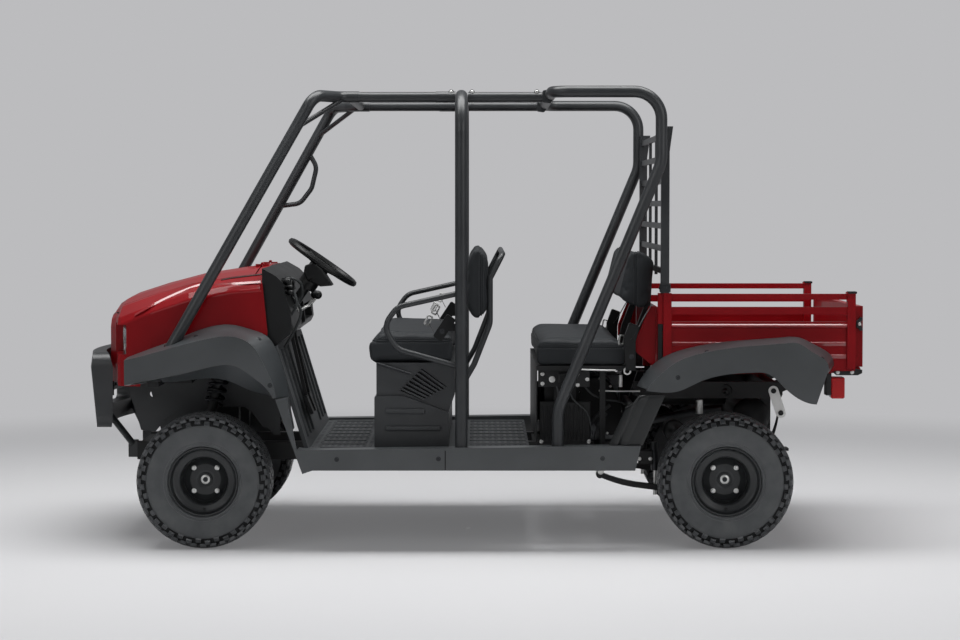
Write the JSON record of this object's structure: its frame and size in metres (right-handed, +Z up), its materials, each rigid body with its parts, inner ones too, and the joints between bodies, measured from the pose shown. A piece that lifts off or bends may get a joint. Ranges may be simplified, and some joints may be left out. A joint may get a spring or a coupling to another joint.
{
  "type": "crew side by side utility vehicle",
  "caption": "Crew side by side utility vehicle with open roll cage, two bench seats, tilting cargo bed with tailgate, lifting hood, steering and turning wheels.",
  "frame": {"origin": "on the ground, under the middle of the vehicle's length and width", "axes": "+X to the rear, +Y to the vehicle's right, +Z up"},
  "size_m": [3.2669, 1.612, 1.9084],
  "materials": {
    "body_paint": "deep red gloss paint",
    "frame_paint": "satin black paint on steel",
    "cage_paint": "satin charcoal powder coat",
    "moulding": "charcoal grained moulded plastic",
    "black_plastic": "black grained plastic",
    "seat_vinyl": "dark grey seat vinyl",
    "tyre_rubber": "tyre rubber",
    "wheel_paint": "black wheel paint",
    "bare_steel": "plated steel",
    "lamp_lens": "clear lamp lens",
    "tail_lens": "red lamp lens"
  },
  "bodies": {
    "chassis": {"bumper": "moulding", "dash": "black_plastic", "engine": "frame_paint", "floor": "black_plastic", "frame": "frame_paint", "front_body": "body_paint", "front_fender_left": "moulding", "front_fender_right": "moulding", "front_liners": "black_plastic", "front_seat_back": "seat_vinyl", "front_seat_base": "black_plastic", "front_seat_cushion": "seat_vinyl", "front_suspension": "frame_paint", "fuel_tank": "black_plastic", "grab_rail": "cage_paint", "grille": "black_plastic", "headlamps": "lamp_lens", "middle_hoop": "cage_paint", "pedals": "frame_paint", "pillar_left": "cage_paint", "pillar_right": "cage_paint", "rear_hoop": "cage_paint", "rear_seat_back": "seat_vinyl", "rear_seat_cushion": "seat_vinyl", "rear_seat_frame": "frame_paint", "rear_side_panel_left": "moulding", "rear_side_panel_right": "moulding", "rear_suspension": "frame_paint", "roof_rails": "cage_paint", "seat_belts": "black_plastic", "shackles": "bare_steel", "skirt_left": "moulding", "skirt_right": "moulding", "steering_column": "black_plastic"},
    "bed": {"bed_box": "body_paint", "rear_fender_left": "moulding", "rear_fender_right": "moulding", "screen": "cage_paint", "tail_lamps": "tail_lens"},
    "tailgate": {"tailgate": "body_paint"},
    "hood": {"hood": "body_paint"},
    "steering_wheel": {"steering_wheel": "black_plastic"},
    "knuckle_left": {"knuckle_left": "frame_paint"},
    "knuckle_right": {"knuckle_right": "frame_paint"},
    "wheel_front_left": {"tyre_front_left": "tyre_rubber", "rim_front_left": "wheel_paint"},
    "wheel_front_right": {"tyre_front_right": "tyre_rubber", "rim_front_right": "wheel_paint"},
    "wheel_rear_left": {"tyre_rear_left": "tyre_rubber", "rim_rear_left": "wheel_paint"},
    "wheel_rear_right": {"tyre_rear_right": "tyre_rubber", "rim_rear_right": "wheel_paint"}
  },
  "joints": [
    {"name": "wheel_front_left_spin", "type": "hinge", "parent": "knuckle_left", "child": "wheel_front_left", "pos_m": [-1.0925, -0.566, 0.28], "axis": [0, 1, 0], "continuous": true},
    {"name": "wheel_front_right_spin", "type": "hinge", "parent": "knuckle_right", "child": "wheel_front_right", "pos_m": [-1.0925, 0.566, 0.28], "axis": [0, 1, 0], "continuous": true},
    {"name": "wheel_rear_left_spin", "type": "hinge", "parent": "chassis", "child": "wheel_rear_left", "pos_m": [1.0725, -0.566, 0.28], "axis": [0, 1, 0], "continuous": true},
    {"name": "wheel_rear_right_spin", "type": "hinge", "parent": "chassis", "child": "wheel_rear_right", "pos_m": [1.0725, 0.566, 0.28], "axis": [0, 1, 0], "continuous": true},
    {"name": "steer_left", "type": "hinge", "parent": "chassis", "child": "knuckle_left", "pos_m": [-1.0925, -0.4, 0.28], "axis": [0, 0, 1], "range_deg": [-32, 32]},
    {"name": "steer_right", "type": "hinge", "parent": "chassis", "child": "knuckle_right", "pos_m": [-1.0925, 0.4, 0.28], "axis": [0, 0, 1], "range_deg": [-32, 32]},
    {"name": "steering_wheel_turn", "type": "hinge", "parent": "chassis", "child": "steering_wheel", "pos_m": [-0.6165, -0.34, 1.18], "axis": [0.568, 0, 0.823], "range_deg": [-520, 520]},
    {"name": "bed_tilt", "type": "hinge", "parent": "chassis", "child": "bed", "pos_m": [1.4675, 0, 0.722], "axis": [0, 1, 0], "range_deg": [0, 45]},
    {"name": "tailgate_drop", "type": "hinge", "parent": "bed", "child": "tailgate", "pos_m": [1.6215, 0, 0.742], "axis": [0, 1, 0], "range_deg": [0, 90]},
    {"name": "hood_lift", "type": "hinge", "parent": "chassis", "child": "hood", "pos_m": [-0.8845, 0, 1.171], "axis": [0, 1, 0], "range_deg": [0, 55]}
  ],
  "couplings": [
    {"joint": "steer_right", "follows": "steer_left", "ratio": 1},
    {"joint": "steering_wheel_turn", "follows": "steer_left", "ratio": 16}
  ]
}
